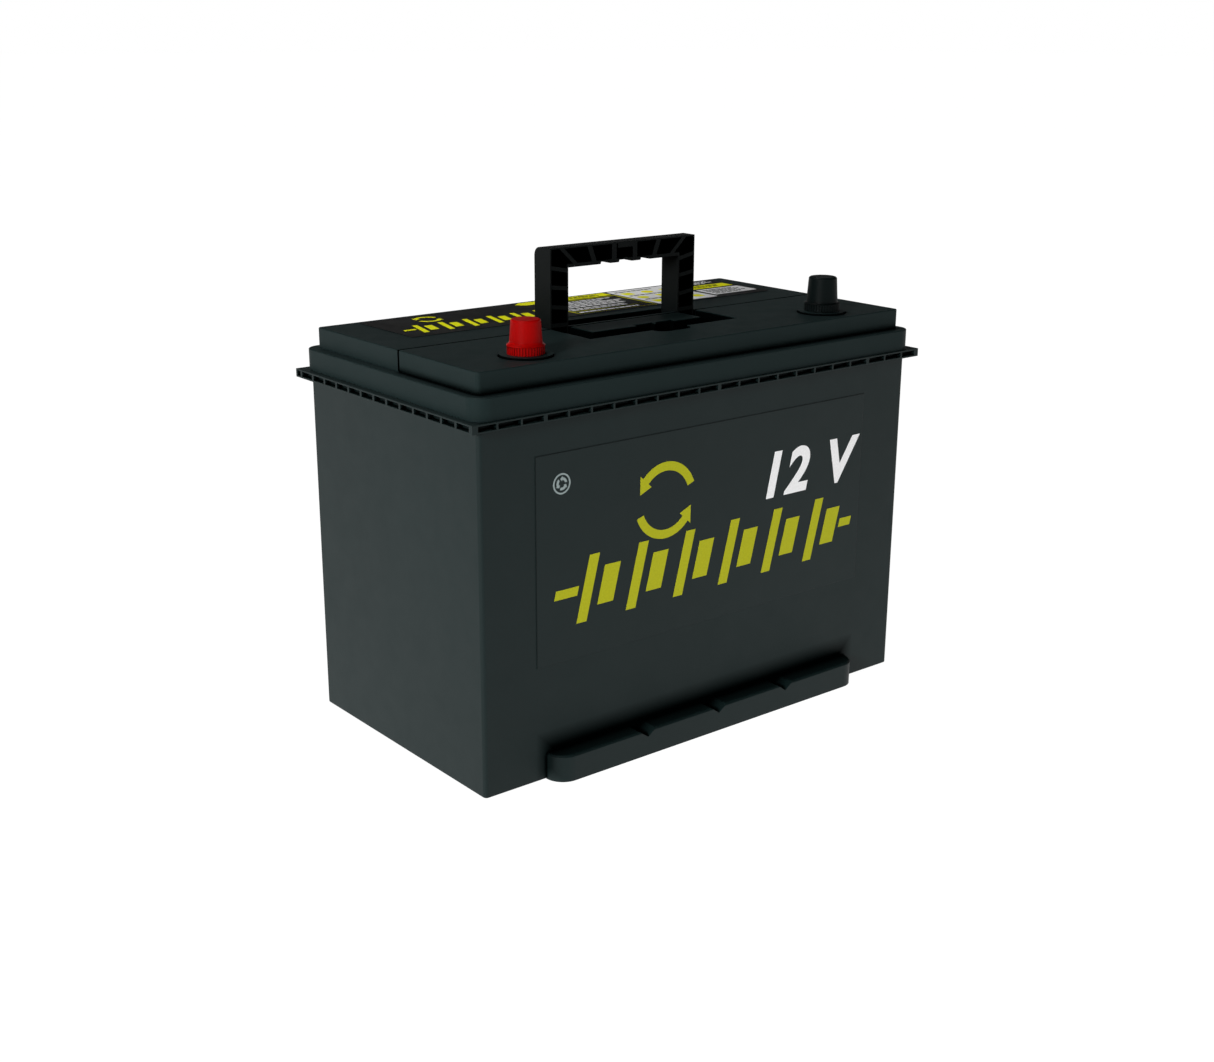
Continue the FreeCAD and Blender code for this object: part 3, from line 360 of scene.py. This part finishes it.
def arc_arrow(cx, cy, outer, inner, start, end, head, steps=24):
    """A curved band from start to end degrees that finishes in an arrow head."""
    angles = [math.radians(start + (end - start) * i / steps) for i in range(steps + 1)]
    middle, half = (outer + inner) / 2, (outer - inner) / 2
    turn = math.copysign(1, end - start)
    loop = [(cx + outer * math.cos(a), cy + outer * math.sin(a)) for a in angles]
    tip = angles[-1] + turn * head / middle
    flare = 2.1 * half  # half the width of the arrow head
    for r, a in ((middle + flare, angles[-1]), (middle, tip), (middle - flare, angles[-1])):
        loop.append((cx + r * math.cos(a), cy + r * math.sin(a)))
    loop += [(cx + inner * math.cos(a), cy + inner * math.sin(a)) for a in reversed(angles)]
    return loop


def cell_symbol(left, right, low, high, pairs):
    """The circuit sign for a row of cells, slanted: long and short bars between two leads."""
    middle = (low + high) / 2
    tall, short, lead = ((high - low) * share for share in (0.5, 0.29, 0.07))
    pitch = (right - left) / (pairs + 0.6)
    thin, thick, gap = (pitch * share for share in (0.20, 0.32, 0.16))
    first, before, after = (pitch * share for share in (0.55, 0.10, 0.08))

    def bar(x0, x1, half):
        return slanted(x0, x1, middle - half, middle + half, SLANT, middle)

    loops = []
    for i in range(pairs):
        x = left + first + pitch * i
        loops.append(bar(x, x + thin, tall))
        x += thin + gap
        loops.append(bar(x, x + thick, short))
    loops.append(bar(left, left + first - before, lead))
    loops.append(bar(x + thick + after, right, lead))
    return loops


def dashes(x0, x1, y0, y1, rows, seed):
    """Rows of short strokes of uneven length, which stand in for lines of small print."""
    draw = random.Random(seed)
    pitch = (y1 - y0) / rows
    loops = []
    for row in range(rows):
        y = y1 - (row + 0.75) * pitch
        x = x0
        end = x1 - draw.uniform(0, 0.3) * (x1 - x0)
        while x < end:
            width = draw.uniform(1.6, 5.2)
            loops.append(rectangle(x, min(x + width, end), y, y + pitch * 0.48))
            x += width + 0.9
    return loops


def flat_piece(name, loops, place, body, material):
    """A thin printed piece from loops on a plane; place maps the plane into the frame."""
    curve = bpy.data.curves.new(name, "CURVE")
    curve.dimensions = "2D"
    curve.fill_mode = "BOTH"
    curve.extrude = INK / 2
    for loop in loops:
        spline = curve.splines.new("POLY")
        spline.points.add(len(loop) - 1)
        for point, (x, y) in zip(spline.points, loop):
            point.co = (x * MM, y * MM, 0, 1)
        spline.use_cyclic_u = True
    return solid_from(curve, name, place, body, material)


def solid_from(curve, name, place, body, material):
    """Turn a filled curve or text into a closed mesh that rides on a body."""
    source = bpy.data.objects.new(name + "_source", curve)
    bpy.context.scene.collection.objects.link(source)
    bpy.context.view_layer.update()
    graph = bpy.context.evaluated_depsgraph_get()
    mesh = bpy.data.meshes.new_from_object(source.evaluated_get(graph))
    bpy.data.objects.remove(source)
    mesh.name = name
    work = bmesh.new()
    work.from_mesh(mesh)
    bmesh.ops.remove_doubles(work, verts=work.verts, dist=1e-7)
    bmesh.ops.recalc_face_normals(work, faces=work.faces)
    work.to_mesh(mesh)
    work.free()
    mesh.transform(place)
    mesh.materials.clear()
    mesh.materials.append(material)
    piece = bpy.data.objects.new(name, mesh)
    bpy.context.scene.collection.objects.link(piece)
    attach(piece, body)
    return piece


def front_plane():
    """Maps x to X and y to Z on the front film's face."""
    low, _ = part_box("front_label")
    lift = Matrix.Translation((0, low.y - LIFT - INK / 2, 0))
    return lift @ Matrix.Rotation(math.radians(90), 4, "X")


def top_plane():
    """Maps x to X and y to Y on the top film's face."""
    _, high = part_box("top_label")
    return Matrix.Translation((0, 0, high.z + LIFT + INK / 2))


def front_print():
    place, body, slot = front_plane(), "case", "front_print"
    low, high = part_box("front_label")
    x0, x1, z0, z1 = (v / MM for v in (low.x, high.x, low.z, high.z))
    edge = 0.3
    border = [rectangle(x0, x0 + edge, z0, z1), rectangle(x0 + edge, x1, z1 - edge, z1)]
    flat_piece("front_film_edge", border, place, body, OUTLINE)
    flat_piece("front_cell_symbol", cell_symbol(-101, 106, 78, 112, 6), place, body, OLIVE)
    cycle = [arc_arrow(-31, 131, 20, 15.4, start, start + 118, 7.5) for start in (20, 200)]
    flat_piece("front_cycle_arrows", cycle, place, body, OLIVE)
    mark = ring(-96.6, 150.9, 5.2, 4.4)
    for start in (10, 130, 250):
        mark.append(arc_arrow(-96.6, 150.9, 3.2, 1.9, start, start + 72, 1.3, 8))
    flat_piece("front_ring_mark", mark, place, body, GREY)
    voltage("front_voltage", 34, 120, 24.5, place, body, WHITE)


def voltage(name, x, y, height, place, body, material):
    """The voltage in bold slanted numerals; height is that of a numeral."""
    text = bpy.data.curves.new(name, "FONT")
    text.body = "12 V"
    text.size = height * MM / NUMERAL_SHARE
    text.shear = SLANT * 0.9
    text.offset = height * MM * BOLD
    text.space_character = LETTER_GAP
    text.extrude = INK / 2
    shift = Matrix.Translation((x * MM, y * MM, 0))
    return solid_from(text, name, place @ shift, body, material)


def top_print():
    place, body, slot = top_plane(), "vent_cover", "top_print"
    yellow = cell_symbol(-112, -10, 25, 45, 6)
    yellow += [arc_arrow(-84, 56.5, 7.5, 5.4, start, start + 118, 3.2) for start in (20, 200)]
    flat_piece("top_cell_symbol", yellow, place, body, YELLOW)
    banner = [(-21, 65), (-16, 60.5), (44.5, 60.5), (44.5, 69), (-16, 69)]
    strips = [banner, rectangle(93, 127, 46, 56)]
    strips += [rectangle(-10, 45, y, y + 0.7) for y in (20, 27.5, 57.5)]
    strips += [rectangle(x, x + 0.7, 20, 57.5) for x in (-10, 44.3)]
    flat_piece("top_yellow_strips", strips, place, body, YELLOW)
    white = [rounded(47, 91, 20, 69, 1.2), rounded(94, 127, 25, 43, 1.2)]
    flat_piece("top_white_panels", white, place, body, WHITE)
    lines = dashes(-7, 41, 37, 56, 5, 3) + dashes(-7, 41, 29.5, 35.5, 2, 5)
    lines += dashes(-7, 41, 21.8, 26.2, 1, 9) + dashes(97, 125, 59, 67, 3, 7)
    flat_piece("top_small_lines", lines, place, body, WHITE)
    raised = Matrix.Translation((0, 0, INK + LIFT)) @ place  # on top of the strips and panels
    marks = []
    for row, y in enumerate((29, 43, 57)):
        for column in range(3):
            cx = 54 + column * 14.5
            square = rounded(cx - 3.4, cx + 3.4, y - 3.4, y + 3.4, 1)
            marks.append(circle(cx, y, 3.6, 24) if (row + column) % 2 else square)
    flat_piece("top_panel_marks", marks, raised, body, YELLOW)
    fine = dashes(97, 124, 27, 41, 5, 11)
    fine += [loop for y in (34.5, 48.5, 62.5) for loop in dashes(50, 88, y, y + 3.4, 1, int(y))]
    flat_piece("top_panel_lines", fine, raised, body, OUTLINE)
    blocks = dashes(-4, 41, 62, 67.5, 2, 13) + dashes(96, 124, 48, 54.5, 2, 17)
    flat_piece("top_strip_lines", blocks, raised, body, OUTLINE)


# ---------------------------------------------------------------- stage, light and camera


def stage():
    """A pale floor that is lit evenly, so that it shows neither pools of light nor a far edge."""
    mesh = bpy.data.meshes.new("floor")
    reach = 20.0
    corners = [(-reach, -reach, 0), (reach, -reach, 0), (reach, reach, 0), (-reach, reach, 0)]
    mesh.from_pydata(corners, [], [(0, 1, 2, 3)])
    floor = bpy.data.objects.new("floor", mesh)
    bpy.context.scene.collection.objects.link(floor)
    material, nodes, _ = new_material("floor")
    shader = nodes["Principled BSDF"]
    shader.inputs["Base Color"].default_value = (0.08, 0.08, 0.08, 1)
    shader.inputs["Roughness"].default_value = 1.0
    shader.inputs["Specular IOR Level"].default_value = 0.0
    shader.inputs["Emission Color"].default_value = (1, 1, 1, 1)
    shader.inputs["Emission Strength"].default_value = 1.0
    mesh.materials.append(material)


def hang(name, light_data, place, target):
    lamp = bpy.data.objects.new(name, light_data)
    lamp.location = place
    lamp.rotation_mode = "QUATERNION"
    lamp.rotation_quaternion = (Vector(target) - Vector(place)).to_track_quat("-Z", "Y")
    bpy.context.scene.collection.objects.link(lamp)


def area_light(name, place, target, size, power):
    lamp_data = bpy.data.lights.new(name, "AREA")
    lamp_data.shape = "DISK"
    lamp_data.size = size
    lamp_data.energy = power
    hang(name, lamp_data, place, target)


def spot_light(name, place, target, cone, power):
    lamp_data = bpy.data.lights.new(name, "SPOT")
    lamp_data.energy = power
    lamp_data.shadow_soft_size = 0.35
    lamp_data.spot_size = math.radians(cone)
    lamp_data.spot_blend = 1.0
    hang(name, lamp_data, place, target)


def light():
    """A studio that is white up to the horizon and dim above it, with two soft lamps."""
    world = bpy.data.worlds.new("studio")
    bpy.context.scene.world = world
    world.use_nodes = True
    nodes, links = world.node_tree.nodes, world.node_tree.links
    direction = nodes.new("ShaderNodeTexCoord")
    split = nodes.new("ShaderNodeSeparateXYZ")
    links.new(direction.outputs["Generated"], split.inputs["Vector"])
    above = spread(nodes, links, split.outputs["Z"], 1.0, DIM_SKY, WHITE_SKY_TOP, DIM_SKY_START)
    backdrop = nodes["Background"]
    backdrop.inputs["Color"].default_value = (1, 1, 1, 1)
    links.new(above, backdrop.inputs["Strength"])
    spot_light("key", (-1.9, -0.62, 0.62), (-0.05, -0.02, -0.03), cone=17.0, power=420)
    area_light("top", (-0.1, 0.8, 2.2), (0, 0, 0.2), size=0.8, power=17)


def camera():
    data = bpy.data.cameras.new("camera")
    data.lens = CAMERA_LENS
    data.sensor_width = 36
    data.clip_start = 0.01
    data.clip_end = 50
    eye = bpy.data.objects.new("camera", data)
    aim = Euler((math.pi / 2 - CAMERA_PITCH, 0, -CAMERA_YAW)).to_matrix()
    turn = (aim @ Matrix.Rotation(CAMERA_ROLL, 3, "Z")).to_4x4()
    eye.matrix_world = Matrix.Translation(CAMERA_PLACE) @ turn
    bpy.context.scene.collection.objects.link(eye)
    bpy.context.scene.camera = eye


camera()
light()
stage()
paint_nodes()
front_print()
top_print()
bpy.context.scene.view_settings.view_transform = "Standard"
